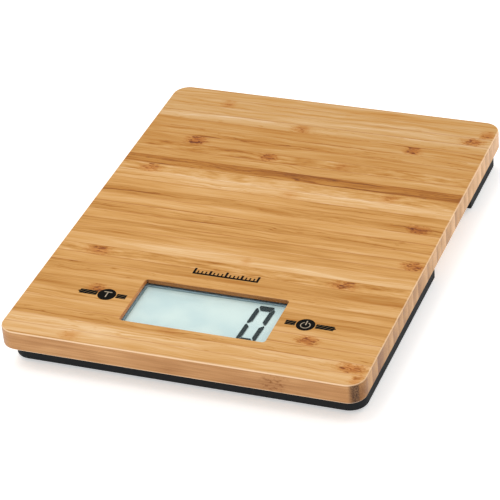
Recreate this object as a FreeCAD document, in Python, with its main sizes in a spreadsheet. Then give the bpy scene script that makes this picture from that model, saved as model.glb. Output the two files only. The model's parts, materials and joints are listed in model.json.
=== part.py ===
import FreeCAD, Part
import math
import os
import re
import Sketcher

# Electronic kitchen scale: a wooden weighing plate that floats on one load cell
# above a black moulded base. All sizes are in millimetres.
# +X is right, +Y is away from the display, +Z is up; the origin is on the
# surface that the scale stands on, under the middle of the plate.
# Names ending in _base are levels of an underside, and in _top of a top side.

Vector = FreeCAD.Vector

DIMENSIONS = {
    # Weighing plate
    "plate_width": 170.0,
    "plate_depth": 220.0,
    "plate_base": 11.0,
    "plate_top": 21.0,
    "plate_corner": 8.0,
    "plate_rounding": 1.0,
    # Hollow under the plate, and the thin wooden skin that is left over display and keys
    "hollow_width": 132.0,
    "hollow_depth": 198.0,
    "hollow_y": -2.0,
    "hollow_top": 15.2,
    "hollow_corner": 6.0,
    "skin_base": 19.0,
    # Display window and touch keys
    "window_width": 68.8,
    "window_depth": 32.4,
    "window_corner": 1.5,
    "window_rounding": 0.3,
    "display_y": -73.2,
    "display_pocket_width": 78.0,
    "display_pocket_depth": 44.0,
    "key_x": 47.25,
    "key_y": -72.7,
    "key_bore": 13.0,
    # Window pane and the frame that carries the liquid crystal cell
    "lens_width": 75.0,
    "lens_depth": 38.0,
    "lens_base": 18.0,
    "lens_corner": 2.0,
    "frame_width": 77.0,
    "frame_depth": 42.0,
    "frame_flange_width": 80.0,
    "frame_flange_depth": 46.0,
    "frame_flange_top": 15.0,
    "frame_ear": 6.0,
    "frame_opening_width": 68.4,
    "frame_opening_depth": 32.0,
    "frame_shelf": 17.2,
    "cell_room_width": 71.6,
    "cell_room_depth": 38.6,
    "module_screw_x": 42.0,
    "module_screw_offset": 22.0,
    # Layers of the display, from the top
    "polarizer_width": 67.4,
    "polarizer_depth": 31.0,
    "polarizer_top": 17.3,
    "glass_width": 71.0,
    "upper_glass_depth": 38.0,
    "upper_glass_top": 17.1,
    "lower_glass_depth": 35.0,
    "lower_glass_y": -74.7,
    "lower_glass_top": 16.4,
    "reflector_width": 68.0,
    "reflector_depth": 34.0,
    "reflector_top": 15.7,
    "backing_top": 15.45,
    "zebra_length": 66.0,
    "zebra_width": 2.0,
    "zebra_y": -55.9,
    # Main circuit board
    "board_width": 112.0,
    "board_depth": 50.0,
    "board_y": -73.0,
    "board_base": 12.0,
    "board_top": 13.2,
    "board_corner": 1.5,
    "blob_y": -78.0,
    "blob_diameter": 10.0,
    "blob_height": 1.0,
    "crystal_x": 12.0,
    "crystal_y": -70.0,
    "crystal_diameter": 2.0,
    "crystal_length": 6.0,
    "resistor_length": 2.0,
    "resistor_width": 1.2,
    "resistor_height": 0.6,
    "resistor_x": -20.0,
    "resistor_y": -92.0,
    "resistor_pitch": 8.0,
    "resistor_row_step": 3.0,
    "resistor_row_gap": 4.0,
    "touch_strip_length": 7.0,
    "touch_strip_width": 5.0,
    "touch_strip_thickness": 0.25,
    # Carrier that joins the plate to the load cell
    "carrier_width": 118.0,
    "carrier_depth": 134.0,
    "carrier_y": 25.0,
    "carrier_base": 11.5,
    "carrier_top": 13.5,
    "carrier_corner": 5.0,
    "carrier_boss": 7.0,
    "carrier_boss_x": 52.0,
    "carrier_boss_pitch": 62.0,
    "carrier_nut_boss": 9.0,
    "carrier_nut_top": 15.0,
    "rib_width": 1.2,
    "carrier_rib_top": 14.8,
    "carrier_rib_inset": 2.0,
    # Load cell and its fixings
    "cell_width": 14.0,
    "cell_length": 64.0,
    "cell_base": 4.5,
    "cell_top": 10.5,
    "cell_eye": 4.4,
    "cell_eye_y": 5.5,
    "cell_slot": 1.2,
    "cell_inner_screw_y": 18.0,
    "cell_outer_screw_y": 26.0,
    "cell_pad_width": 16.0,
    "cell_pad_length": 18.0,
    "cell_thread_depth": 5.0,
    "gauge_width": 4.0,
    "gauge_length": 6.0,
    "gauge_thickness": 0.15,
    # Base moulding
    "tray_width": 165.4,
    "tray_front": -103.1,
    "tray_rear": 107.9,
    "tray_base": 2.0,
    "tray_rim": 10.0,
    "tray_wall": 1.6,
    "tray_corner": 8.0,
    "tray_rounding": 0.2,
    "grip_depth": 13.0,
    "grip_front": 2.6,
    "grip_rear": 61.5,
    "grip_inner_corner": 3.0,
    "grip_outer_corner": 0.6,
    "tray_rib_x": 16.0,
    "tray_rib_front": -40.0,
    "tray_rib_rear": 70.0,
    "tray_rib_top": 7.0,
    "tray_rib_overlap": 0.2,
    "stop_x": 74.0,
    "stop_y": 92.0,
    "stop_diameter": 6.0,
    "stop_top": 10.4,
    # Feet
    "foot_x": 66.0,
    "foot_y": 88.0,
    "foot_diameter": 14.0,
    "foot_top": 2.8,
    "foot_rounding": 0.8,
    "foot_dish": 0.3,
    "foot_tread": 2.4,
    "foot_slope": 0.6,
    "socket_diameter": 14.4,
    # Battery bay and its door
    "bay_x": -45.0,
    "bay_y": -61.75,
    "bay_width": 30.0,
    "bay_depth": 31.5,
    "bay_top": 9.0,
    "bay_room_top": 8.0,
    "bay_room_width": 23.0,
    "bay_room_depth": 21.5,
    "battery_y": -62.5,
    "battery_diameter": 20.0,
    "battery_base": 3.9,
    "battery_height": 3.2,
    "battery_cap_height": 0.4,
    "battery_cap_margin": 1.2,
    "contact_thickness": 0.2,
    "contact_tail_rise": 0.8,
    "tail_slot_width": 0.8,
    "tail_slot_depth": 4.4,
    "positive_tail_x": -56.2,
    "negative_tail_x": -34.4,
    "door_width": 25.4,
    "door_front": -75.7,
    "door_top": 3.4,
    "door_gap": 0.3,
    "hinge_y": -49.1,
    "hinge_height": 3.0,
    "hinge_diameter": 2.0,
    "hinge_pin": 1.2,
    "hinge_pin_bore": 1.3,
    "hinge_pin_reach": 1.4,
    "hook_width": 6.8,
    "hook_front": -75.4,
    "hook_depth": 1.0,
    "hook_top": 5.0,
    "pad_diameter": 14.0,
    "door_groove_inset": 3.0,
    "door_groove_pitch": 1.6,
    "door_groove_width": 0.8,
    "door_groove_depth": 0.4,
    "door_groove_overhang": 2.0,
    # Unit button and its switch
    "unit_x": 45.0,
    "unit_y": -62.0,
    "unit_cap": 8.0,
    "unit_bore": 8.4,
    "unit_base": 1.6,
    "unit_flange": 10.8,
    "unit_flange_base": 3.7,
    "unit_top": 4.5,
    "unit_guide": 11.4,
    "unit_guide_top": 5.0,
    "switch_size": 6.0,
    "switch_base": 5.2,
    "switch_board_base": 8.2,
    "switch_board_top": 9.2,
    "switch_board_width": 21.0,
    "switch_board_depth": 12.0,
    "switch_post_x": 7.5,
    "switch_post": 4.0,
    "plunger_diameter": 3.4,
    "plunger_bore": 3.6,
    "plunger_top": 6.0,
    "plunger_room_top": 6.6,
    # Screws: nominal thread, hole that clears it, head
    "wood_screw": 2.2,
    "wood_screw_hole": 2.4,
    "wood_screw_head": 4.2,
    "wood_screw_head_height": 1.0,
    "wood_screw_tip": 18.2,
    "cell_screw": 3.0,
    "cell_screw_hole": 3.4,
    "cell_screw_head": 5.4,
    "upper_screw_head_height": 1.6,
    "upper_screw_length": 9.6,
    "upper_screw_access": 7.0,
    "lower_screw_head_height": 0.8,
    "lower_screw_length": 6.2,
    "lower_screw_counterbore": 6.0,
    "switch_screw": 1.6,
    "switch_screw_head": 3.6,
    "switch_screw_head_height": 0.8,
    "switch_screw_length": 4.0,
}

doc = FreeCAD.newDocument("kitchen_scale")
nodes = []


# ---------------------------------------------------------------- document helpers

def make_sheet():
    """Writes the driving dimensions into the spreadsheet, one aliased cell each."""
    sheet = doc.addObject("Spreadsheet::Sheet", "dims")
    for row, (name, number) in enumerate(DIMENSIONS.items(), start=1):
        sheet.set(f"A{row}", name)
        sheet.set(f"B{row}", str(number))
        sheet.setAlias(f"B{row}", name)
    doc.recompute()
    return sheet


dims = make_sheet()


def bound(formula):
    """Turns a formula such as 'plate_width / 2' into an expression on the sheet's cells."""
    return re.sub(r"[a-z][a-z_]+", lambda word: "dims." + word.group(), formula)


def size(formula):
    """The present value of a formula, in millimetres."""
    return float(dims.evalExpression(bound(formula)))


def add_node(feature, label):
    """Registers a finished sub-part under the name of its file."""
    feature.Label = label
    nodes.append(feature)
    return feature


# ---------------------------------------------------------------- sketches

def new_body(name):
    return doc.addObject("PartDesign::Body", name + "_body")


def new_sketch(body, name, level="0", plane="XY_Plane"):
    """A sketch on one of the body's own origin planes, moved along its normal to a level."""
    sketch = body.newObject("Sketcher::SketchObject", name)
    support = next(item for item in body.Origin.OriginFeatures if item.Role == plane)
    sketch.AttachmentSupport = [(support, "")]
    sketch.MapMode = "FlatFace"
    sketch.setExpression("AttachmentOffset.Base.z", bound(level))
    return sketch


def constrain(sketch, kind, points, formula):
    """Adds a dimension to a sketch and binds it to a formula."""
    index = sketch.addConstraint(Sketcher.Constraint(kind, *points, size(formula)))
    sketch.setExpression(f"Constraints[{index}]", bound(formula))


def place_point(sketch, curve, point, x, y):
    """Fixes a sketch point; a coordinate of 0 puts it on the sketch's own axis."""
    for kind, axis, formula in (("DistanceX", -2, x), ("DistanceY", -1, y)):
        if formula == "0":
            sketch.addConstraint(Sketcher.Constraint("PointOnObject", curve, point, axis))
        else:
            constrain(sketch, kind, (-1, 1, curve, point), formula)


def add_outline(sketch, points):
    """A closed outline of straight lines through points given as pairs of formulas."""
    corners = [Vector(size(x), size(y), 0) for x, y in points]
    first = sketch.GeometryCount
    for start, end in zip(corners, corners[1:] + corners[:1]):
        sketch.addGeometry(Part.LineSegment(start, end), False)
    for number, (x, y) in enumerate(points):
        after = first + (number + 1) % len(points)
        sketch.addConstraint(Sketcher.Constraint("Coincident", first + number, 2, after, 1))
        place_point(sketch, first + number, 1, x, y)


def add_rectangle(sketch, x, y, width, depth):
    """A rectangle about the centre (x, y)."""
    left, right = f"({x}) - ({width}) / 2", f"({x}) + ({width}) / 2"
    front, rear = f"({y}) - ({depth}) / 2", f"({y}) + ({depth}) / 2"
    add_outline(sketch, [(left, front), (right, front), (right, rear), (left, rear)])


def add_circle(sketch, x, y, diameter):
    """A circle about the centre (x, y)."""
    circle = Part.Circle(Vector(size(x), size(y), 0), Vector(0, 0, 1), size(diameter) / 2)
    index = sketch.addGeometry(circle, False)
    constrain(sketch, "Diameter", (index,), diameter)
    place_point(sketch, index, 3, x, y)


# ---------------------------------------------------------------- features of a body

def pad(body, name, sketch, height):
    """Adds the sketch's area, upwards from its level."""
    doc.recompute()
    feature = body.newObject("PartDesign::Pad", name)
    feature.Profile = sketch
    feature.setExpression("Length", bound(height))
    doc.recompute()
    return feature


def pocket(body, name, sketch, height):
    """Removes the sketch's area, in the direction of the sketch plane's own normal."""
    doc.recompute()
    feature = body.newObject("PartDesign::Pocket", name)
    feature.Profile = sketch
    feature.Reversed = True
    feature.setExpression("Length", bound(height))
    doc.recompute()
    return feature


def pad_rectangle(body, name, level, height, x, y, width, depth):
    sketch = new_sketch(body, name + "_sketch", level)
    add_rectangle(sketch, x, y, width, depth)
    return pad(body, name, sketch, height)


def pocket_rectangle(body, name, level, height, x, y, width, depth):
    sketch = new_sketch(body, name + "_sketch", level)
    add_rectangle(sketch, x, y, width, depth)
    return pocket(body, name, sketch, height)


def pad_circles(body, name, level, height, places, diameter):
    sketch = new_sketch(body, name + "_sketch", level)
    for x, y in places:
        add_circle(sketch, x, y, diameter)
    return pad(body, name, sketch, height)


def pocket_circles(body, name, level, height, places, diameter):
    sketch = new_sketch(body, name + "_sketch", level)
    for x, y in places:
        add_circle(sketch, x, y, diameter)
    return pocket(body, name, sketch, height)


def revolve(body, name, points):
    """Turns a half outline, drawn in the XZ plane, once round the Z axis."""
    sketch = new_sketch(body, name + "_sketch", plane="XZ_Plane")
    add_outline(sketch, points)
    doc.recompute()
    feature = body.newObject("PartDesign::Revolution", name)
    feature.Profile = sketch
    feature.ReferenceAxis = (sketch, ["V_Axis"])
    feature.Angle = 360.0
    doc.recompute()
    return feature


def round_edges(body, name, radius, chosen):
    """Rounds the edges that the test picks out."""
    base = body.Tip
    picked = [f"Edge{number}" for number, edge in enumerate(base.Shape.Edges, 1) if chosen(edge)]
    feature = body.newObject("PartDesign::Fillet", name)
    feature.Base = (base, picked)
    feature.setExpression("Radius", bound(radius))
    doc.recompute()
    return feature


# ---------------------------------------------------------------- tests that pick edges

NEAR = 0.01


def is_upright(edge):
    """True for a straight vertical edge."""
    box = edge.BoundBox
    return box.XLength < NEAR and box.YLength < NEAR and box.ZLength > NEAR


def is_level_at(edge, level):
    """True for an edge that lies in the horizontal plane at a level."""
    box = edge.BoundBox
    return abs(box.ZMin - size(level)) < NEAR and abs(box.ZMax - size(level)) < NEAR


def is_inside(edge, x, y, width, depth):
    """True for an edge within a rectangle about (x, y), its border included."""
    box = edge.BoundBox
    return (abs(box.Center.x - size(x)) + box.XLength / 2 < size(width) / 2 + NEAR
            and abs(box.Center.y - size(y)) + box.YLength / 2 < size(depth) / 2 + NEAR)


def is_at_grip(edge):
    """True for an edge between the two ends of the finger recesses, the ends included."""
    return size("grip_front") - NEAR < edge.BoundBox.Center.y < size("grip_rear") + NEAR


# ---------------------------------------------------------------- primitives

def place(feature, x, y, base):
    """Binds where a feature stands."""
    for axis, formula in zip("xyz", (x, y, base)):
        feature.setExpression(f"Placement.Base.{axis}", bound(formula))
    return feature


def block(name, x, y, base, width, depth, height):
    """A rectangular block about (x, y), standing on its base level."""
    feature = doc.addObject("Part::Box", name)
    for side, formula in (("Length", width), ("Width", depth), ("Height", height)):
        feature.setExpression(side, bound(formula))
    return place(feature, f"({x}) - ({width}) / 2", f"({y}) - ({depth}) / 2", base)


def disc(name, x, y, base, diameter, height):
    """An upright cylinder about (x, y), standing on its base level."""
    feature = doc.addObject("Part::Cylinder", name)
    feature.setExpression("Radius", bound(f"({diameter}) / 2"))
    feature.setExpression("Height", bound(height))
    return place(feature, x, y, base)


def joined(name, kind, features):
    """A Part::Compound or Part::MultiFuse of several features."""
    feature = doc.addObject(kind, name)
    if kind == "Part::Compound":
        feature.Links = features
    else:
        feature.Shapes = features
    return feature


def cut(name, base, tool):
    feature = doc.addObject("Part::Cut", name)
    feature.Base = base
    feature.Tool = tool
    return feature


def shaped(name, shape):
    """A feature whose shape is worked out in code."""
    feature = doc.addObject("Part::Feature", name)
    feature.Shape = shape
    feature.Placement = FreeCAD.Placement()
    return feature


# ---------------------------------------------------------------- wires and strips

WIRE = 0.7
WIRE_PITCH = 1.0


def wire_path(points):
    """Straight runs joined by tangent arcs, each as large as its two runs allow."""
    edges = []
    here = points[0]
    for before, corner, after in zip(points, points[1:], points[2:]):
        back = before - corner
        ahead = after - corner
        half_turn = (math.pi - back.getAngle(ahead)) / 2
        reach = 0.45 * min(back.Length, ahead.Length)
        radius = reach / math.tan(half_turn)
        back.normalize()
        ahead.normalize()
        start = corner + back * reach
        end = corner + ahead * reach
        inward = (back + ahead).normalize()
        middle = corner + inward * (radius / math.cos(half_turn) - radius)
        edges.append(Part.LineSegment(here, start).toShape())
        edges.append(Part.Arc(start, middle, end).toShape())
        here = end
    edges.append(Part.LineSegment(here, points[-1]).toShape())
    return Part.Wire(edges)


def tube(points, diameter):
    """A round wire along a path, checked against its section times its length."""
    path = wire_path(points)
    section = Part.Circle(points[0], points[1] - points[0], diameter / 2)
    solid = path.makePipeShell([Part.Wire(section.toShape())], True, True)
    expected = math.pi * diameter ** 2 / 4 * path.Length
    if abs(solid.Volume - expected) > 0.03 * expected:
        raise RuntimeError("a wire's volume does not match its length")
    return solid


def bent_strip(points, thickness, width):
    """Sheet metal folded along a path in an XZ plane; the path is its middle."""
    left, right = [], []
    for number, point in enumerate(points):
        before = points[max(number - 1, 0)]
        after = points[min(number + 1, len(points) - 1)]
        first = (point - before) if number else (after - point)
        second = (after - point) if number < len(points) - 1 else first
        normal_a = Vector(-first.z, 0, first.x).normalize()
        normal_b = Vector(-second.z, 0, second.x).normalize()
        mitre = (normal_a + normal_b).normalize()
        reach = thickness / 2 / mitre.dot(normal_a)
        left.append(point + mitre * reach)
        right.append(point - mitre * reach)
    outline = left + right[::-1]
    face = Part.Face(Part.makePolygon(outline + outline[:1]))
    face.translate(Vector(0, -width / 2, 0))
    return face.extrude(Vector(0, width, 0))


# ---------------------------------------------------------------- screws

def screw_pattern(name, thread, length, head, head_height):
    """A pan-head screw with a cross recess: its head below z = 0, its shank above."""
    body = new_body(name)
    revolve(body, name + "_turned", [
        ("0", f"-({head_height})"),
        (f"{head} / 2 - 0.3", f"-({head_height})"),
        (f"{head} / 2", f"-({head_height}) + 0.3"),
        (f"{head} / 2", "0"),
        (f"{thread} / 2", "0"),
        (f"{thread} / 2", f"({length}) - {thread} / 2"),
        (f"{thread} / 8", length),
        ("0", length),
    ])
    recess_length = f"{head} * 0.55"
    recess_width = f"{head} * 0.14"
    for letter, across, along in (("a", recess_length, recess_width), ("b", recess_width, recess_length)):
        pocket_rectangle(body, f"{name}_recess_{letter}", f"-({head_height})",
                         f"({head_height}) * 0.6", "0", "0", across, along)
    return body


def screw_set(label, pattern, places, seat, from_above=False):
    """One node that holds a copy of a screw at each place, its head seated at a level."""
    copies = []
    for number, (x, y) in enumerate(places, start=1):
        copy = doc.addObject("App::Link", f"{label}_{number}")
        copy.LinkedObject = pattern
        if from_above:
            copy.Placement = FreeCAD.Placement(Vector(), FreeCAD.Rotation(Vector(1, 0, 0), 180))
        copies.append(place(copy, x, y, seat))
    return add_node(joined(label + "_set", "Part::Compound", copies), label)


# ---------------------------------------------------------------- where screws go

MODULE_SCREWS = [
    (f"{side}module_screw_x", f"display_y {end} module_screw_offset")
    for side in ("-", "") for end in ("-", "+")
]
CARRIER_SCREWS = [
    (f"{side}carrier_boss_x", f"carrier_y + ({row}) * carrier_boss_pitch")
    for side in ("-", "") for row in (-1, 0, 1)
]
UPPER_CELL_SCREWS = [("0", "cell_inner_screw_y"), ("0", "cell_outer_screw_y")]
LOWER_CELL_SCREWS = [("0", "-cell_inner_screw_y"), ("0", "-cell_outer_screw_y")]
SWITCH_SCREWS = [(f"unit_x {side} switch_post_x", "unit_y") for side in ("-", "+")]
FEET = {
    "foot_front_left": ("-foot_x", "-foot_y"),
    "foot_front_right": ("foot_x", "-foot_y"),
    "foot_rear_left": ("-foot_x", "foot_y"),
    "foot_rear_right": ("foot_x", "foot_y"),
}
KEYS = {
    "touch_spring_tare": ("-key_x", "key_y"),
    "touch_spring_power": ("key_x", "key_y"),
}


# ---------------------------------------------------------------- weighing plate

def make_plate():
    """Solid wooden board, hollowed from below, with a window and thin spots over the keys."""
    body = new_body("plate")
    pad_rectangle(body, "plate_board", "plate_base", "plate_top - plate_base",
                  "0", "0", "plate_width", "plate_depth")
    round_edges(body, "plate_corners", "plate_corner", is_upright)
    round_edges(body, "plate_top_rounding", "plate_rounding", lambda edge: is_level_at(edge, "plate_top"))
    round_edges(body, "plate_base_rounding", "plate_rounding", lambda edge: is_level_at(edge, "plate_base"))
    pocket_rectangle(body, "plate_hollow", "plate_base", "hollow_top - plate_base",
                     "0", "hollow_y", "hollow_width", "hollow_depth")
    round_edges(body, "plate_hollow_corners", "hollow_corner",
                lambda edge: is_upright(edge)
                and is_inside(edge, "0", "hollow_y", "hollow_width", "hollow_depth"))
    pocket_rectangle(body, "plate_display_pocket", "hollow_top", "skin_base - hollow_top",
                     "0", "display_y", "display_pocket_width", "display_pocket_depth")
    pocket_circles(body, "plate_key_bores", "hollow_top", "skin_base - hollow_top",
                   list(KEYS.values()), "key_bore")
    pocket_rectangle(body, "plate_window", "skin_base", "plate_top - skin_base",
                     "0", "display_y", "window_width", "window_depth")
    round_edges(body, "plate_window_corners", "window_corner",
                lambda edge: is_upright(edge)
                and is_inside(edge, "0", "display_y", "window_width", "window_depth"))
    round_edges(body, "plate_window_rounding", "window_rounding",
                lambda edge: is_level_at(edge, "plate_top")
                and is_inside(edge, "0", "display_y", "window_width", "window_depth"))
    pocket_circles(body, "plate_pilot_holes", "hollow_top", "wood_screw_tip + 0.2 - hollow_top",
                   MODULE_SCREWS + CARRIER_SCREWS, "wood_screw")
    add_node(body, "bamboo_plate")


# ---------------------------------------------------------------- display module

def make_lens():
    """Clear pane glued under the window."""
    body = new_body("lens")
    pad_rectangle(body, "lens_pane", "lens_base", "skin_base - lens_base",
                  "0", "display_y", "lens_width", "lens_depth")
    round_edges(body, "lens_corners", "lens_corner", is_upright)
    add_node(body, "display_lens")


def make_display_frame():
    """Moulded frame: a flange with ears on the circuit board, and a shelf over the glass."""
    body = new_body("display_frame")
    pad_rectangle(body, "frame_flange", "board_top", "frame_flange_top - board_top",
                  "0", "display_y", "frame_flange_width", "frame_flange_depth")
    pad_circles(body, "frame_ears", "board_top", "frame_flange_top - board_top",
                MODULE_SCREWS, "frame_ear")
    pad_rectangle(body, "frame_ring", "frame_flange_top", "lens_base - frame_flange_top",
                  "0", "display_y", "frame_width", "frame_depth")
    pocket_rectangle(body, "frame_cell_room", "board_top", "frame_shelf - board_top",
                     "0", "display_y", "cell_room_width", "cell_room_depth")
    pocket_rectangle(body, "frame_opening", "frame_shelf", "lens_base - frame_shelf",
                     "0", "display_y", "frame_opening_width", "frame_opening_depth")
    round_edges(body, "frame_opening_corners", "window_corner",
                lambda edge: is_upright(edge) and is_inside(
                    edge, "0", "display_y", "frame_opening_width", "frame_opening_depth"))
    pocket_circles(body, "frame_screw_holes", "board_top", "frame_flange_top - board_top",
                   MODULE_SCREWS, "wood_screw_hole")
    add_node(body, "lcd_frame")


def make_display_layers():
    """The liquid crystal cell as flat layers, with the rubber strip that feeds it."""
    layers = (
        ("lcd_polarizer", "display_y", "upper_glass_top", "polarizer_top",
         "polarizer_width", "polarizer_depth"),
        ("lcd_upper_glass", "display_y", "lower_glass_top", "upper_glass_top",
         "glass_width", "upper_glass_depth"),
        ("lcd_lower_glass", "lower_glass_y", "reflector_top", "lower_glass_top",
         "glass_width", "lower_glass_depth"),
        ("lcd_reflector", "lower_glass_y", "backing_top", "reflector_top",
         "reflector_width", "reflector_depth"),
        ("lcd_backing", "lower_glass_y", "board_top", "backing_top",
         "reflector_width", "reflector_depth"),
        ("zebra_strip", "zebra_y", "board_top", "lower_glass_top",
         "zebra_length", "zebra_width"),
    )
    for label, y, base, top, width, depth in layers:
        add_node(block(label + "_block", "0", y, base, width, depth, f"{top} - {base}"), label)


# ---------------------------------------------------------------- main circuit board

def make_main_board():
    body = new_body("main_board")
    pad_rectangle(body, "board_panel", "board_base", "board_top - board_base",
                  "0", "board_y", "board_width", "board_depth")
    round_edges(body, "board_corners", "board_corner", is_upright)
    pocket_circles(body, "board_screw_holes", "board_base", "board_top - board_base",
                   MODULE_SCREWS, "wood_screw_hole")
    add_node(body, "main_circuit_board")


def make_board_parts():
    """Parts soldered under the main board: chip under resin, crystal, resistors."""
    blob = disc("blob_disc", "0", "blob_y", "board_base - blob_height", "blob_diameter", "blob_height")
    domed = doc.addObject("Part::Fillet", "blob_dome")
    domed.Base = blob
    doc.recompute()
    lower_rim = next(number for number, edge in enumerate(blob.Shape.Edges, 1)
                     if edge.Closed and is_level_at(edge, "board_base - blob_height"))
    rounding = size("blob_height") * 0.8
    domed.Edges = [(lower_rim, rounding, rounding)]
    add_node(domed, "chip_blob")

    crystal = doc.addObject("Part::Cylinder", "crystal_can")
    crystal.setExpression("Radius", bound("crystal_diameter / 2"))
    crystal.setExpression("Height", bound("crystal_length"))
    crystal.Placement = FreeCAD.Placement(Vector(), FreeCAD.Rotation(Vector(0, 1, 0), 90))
    place(crystal, "crystal_x", "crystal_y", "board_base - crystal_diameter / 2")
    add_node(crystal, "timing_crystal")

    chips = []
    rows, columns = 2, 6
    for row in range(rows):
        for column in range(columns):
            x = f"resistor_x + {column} * resistor_pitch + {row} * resistor_row_step"
            y = f"resistor_y + {row} * resistor_row_gap"
            chips.append(block(f"resistor_{row}_{column}", x, y, "board_base - resistor_height",
                               "resistor_length", "resistor_width", "resistor_height"))
    add_node(joined("resistor_group", "Part::Compound", chips), "board_resistors")


def make_touch_springs():
    """Folded strip springs between the board's sensing pads and the thin wood over each key."""
    reach = size("touch_strip_length / 2")
    width = size("touch_strip_width")
    thickness = size("touch_strip_thickness")
    low = size("board_top") + thickness / 2
    high = size("skin_base") - thickness / 2
    for label, (key_x, key_y) in KEYS.items():
        x, y = size(key_x), size(key_y)
        path = [
            Vector(x - reach, y, low),
            Vector(x + reach, y, low),
            Vector(x - reach, y, (low + high) / 2),
            Vector(x + reach, y, high),
            Vector(x - reach, y, high),
        ]
        add_node(shaped(label + "_strip", bent_strip(path, thickness, width)), label)


# ---------------------------------------------------------------- carrier

def make_carrier():
    """Stiff plate screwed into the hollow of the wood; the load cell holds it up."""
    body = new_body("carrier")
    pad_rectangle(body, "carrier_plate", "carrier_base", "carrier_top - carrier_base",
                  "0", "carrier_y", "carrier_width", "carrier_depth")
    round_edges(body, "carrier_corners", "carrier_corner", is_upright)
    pad_circles(body, "carrier_bosses", "carrier_top", "hollow_top - carrier_top",
                CARRIER_SCREWS, "carrier_boss")
    for number, x in enumerate(("-carrier_boss_x / 2", "carrier_boss_x / 2")):
        pad_rectangle(body, f"carrier_long_rib_{number}", "carrier_top", "carrier_rib_top - carrier_top",
                      x, "carrier_y", "rib_width", "carrier_depth - 2 * carrier_rib_inset")
    for number, y in enumerate(("carrier_y - carrier_boss_pitch", "carrier_y + carrier_boss_pitch")):
        pad_rectangle(body, f"carrier_cross_rib_{number}", "carrier_top", "carrier_rib_top - carrier_top",
                      "0", y, "2 * carrier_boss_x", "rib_width")
    for number, (x, y) in enumerate(UPPER_CELL_SCREWS):
        pad_circles(body, f"carrier_nut_boss_{number}", "carrier_top", "carrier_nut_top - carrier_top",
                    [(x, y)], "carrier_nut_boss")
    pocket_circles(body, "carrier_screw_holes", "carrier_base", "hollow_top - carrier_base",
                   CARRIER_SCREWS, "wood_screw_hole")
    pocket_circles(body, "carrier_threads", "carrier_base", "carrier_nut_top - carrier_base",
                   UPPER_CELL_SCREWS, "cell_screw")
    add_node(body, "platform_carrier")


# ---------------------------------------------------------------- load cell

def make_load_cell():
    """Aluminium bending beam along Y: fixed at the front, free at the rear."""
    body = new_body("load_cell")
    pad_rectangle(body, "cell_bar", "cell_base", "cell_top - cell_base",
                  "0", "0", "cell_width", "cell_length")
    middle = "(cell_base + cell_top) / 2"
    eyes = new_sketch(body, "cell_eyes_sketch", "-cell_width / 2", "YZ_Plane")
    for y in ("-cell_eye_y", "cell_eye_y"):
        add_circle(eyes, y, middle, "cell_eye")
    pocket(body, "cell_eyes", eyes, "cell_width")
    slot = new_sketch(body, "cell_slot_sketch", "-cell_width / 2", "YZ_Plane")
    add_rectangle(slot, "0", middle, "2 * cell_eye_y", "cell_slot")
    pocket(body, "cell_slot_cut", slot, "cell_width")
    pocket_circles(body, "cell_free_holes", "cell_base", "cell_top - cell_base",
                   UPPER_CELL_SCREWS, "cell_screw_hole")
    pocket_circles(body, "cell_threads", "cell_base", "cell_thread_depth",
                   LOWER_CELL_SCREWS, "cell_screw")
    add_node(body, "load_cell")


def make_cell_pad(label, base, height, screws):
    """Steel plate between an end of the load cell and what it is screwed to."""
    body = new_body(label)
    middle = " + ".join(f"({y})" for _, y in screws)
    pad_rectangle(body, label + "_plate", base, height, "0", f"({middle}) / 2",
                  "cell_pad_width", "cell_pad_length")
    pocket_circles(body, label + "_holes", base, height, screws, "cell_screw_hole")
    add_node(body, label)


def make_strain_gauges():
    """Foil gauges over and under the thin places of the load cell."""
    gauges = []
    for number, y in enumerate(("-cell_eye_y", "cell_eye_y")):
        for side, base in (("top", "cell_top"), ("bottom", "cell_base - gauge_thickness")):
            gauges.append(block(f"gauge_{side}_{number}", "0", y, base,
                                "gauge_width", "gauge_length", "gauge_thickness"))
    add_node(joined("gauge_group", "Part::Compound", gauges), "strain_gauges")


# ---------------------------------------------------------------- base

def make_tray():
    """Moulded base: open at the top, waisted at both sides for the fingers."""
    body = new_body("tray")
    outline = new_sketch(body, "tray_outline", "tray_base")
    right_half = [
        ("tray_width / 2", "tray_front"),
        ("tray_width / 2", "grip_front"),
        ("tray_width / 2 - grip_depth", "grip_front"),
        ("tray_width / 2 - grip_depth", "grip_rear"),
        ("tray_width / 2", "grip_rear"),
        ("tray_width / 2", "tray_rear"),
    ]
    left_half = [(f"-({x})", y) for x, y in reversed(right_half)]
    add_outline(outline, right_half + left_half)
    pad(body, "tray_block", outline, "tray_rim - tray_base")
    round_edges(body, "tray_corners", "tray_corner",
                lambda edge: is_upright(edge) and not is_at_grip(edge))
    waist = size("tray_width / 2 - grip_depth")
    round_edges(body, "tray_grip_inner_corners", "grip_inner_corner",
                lambda edge: is_upright(edge) and is_at_grip(edge)
                and abs(edge.BoundBox.Center.x) < waist + NEAR)
    shell = body.newObject("PartDesign::Thickness", "tray_shell")
    solid = doc.getObject("tray_grip_inner_corners")
    rim = [f"Face{number}" for number, face in enumerate(solid.Shape.Faces, 1)
           if abs(face.CenterOfMass.z - size("tray_rim")) < NEAR]
    shell.Base = (solid, rim)
    shell.Reversed = True
    shell.Join = 0
    shell.setExpression("Value", bound("tray_wall"))
    doc.recompute()
    round_edges(body, "tray_grip_outer_corners", "grip_outer_corner",
                lambda edge: is_upright(edge) and is_at_grip(edge)
                and abs(edge.BoundBox.Center.x) > size("tray_width / 2") - NEAR)
    round_edges(body, "tray_base_rounding", "tray_rounding", lambda edge: is_level_at(edge, "tray_base"))
    make_tray_inside(body)
    make_tray_holes(body)
    add_node(body, "base_tray")


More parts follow.
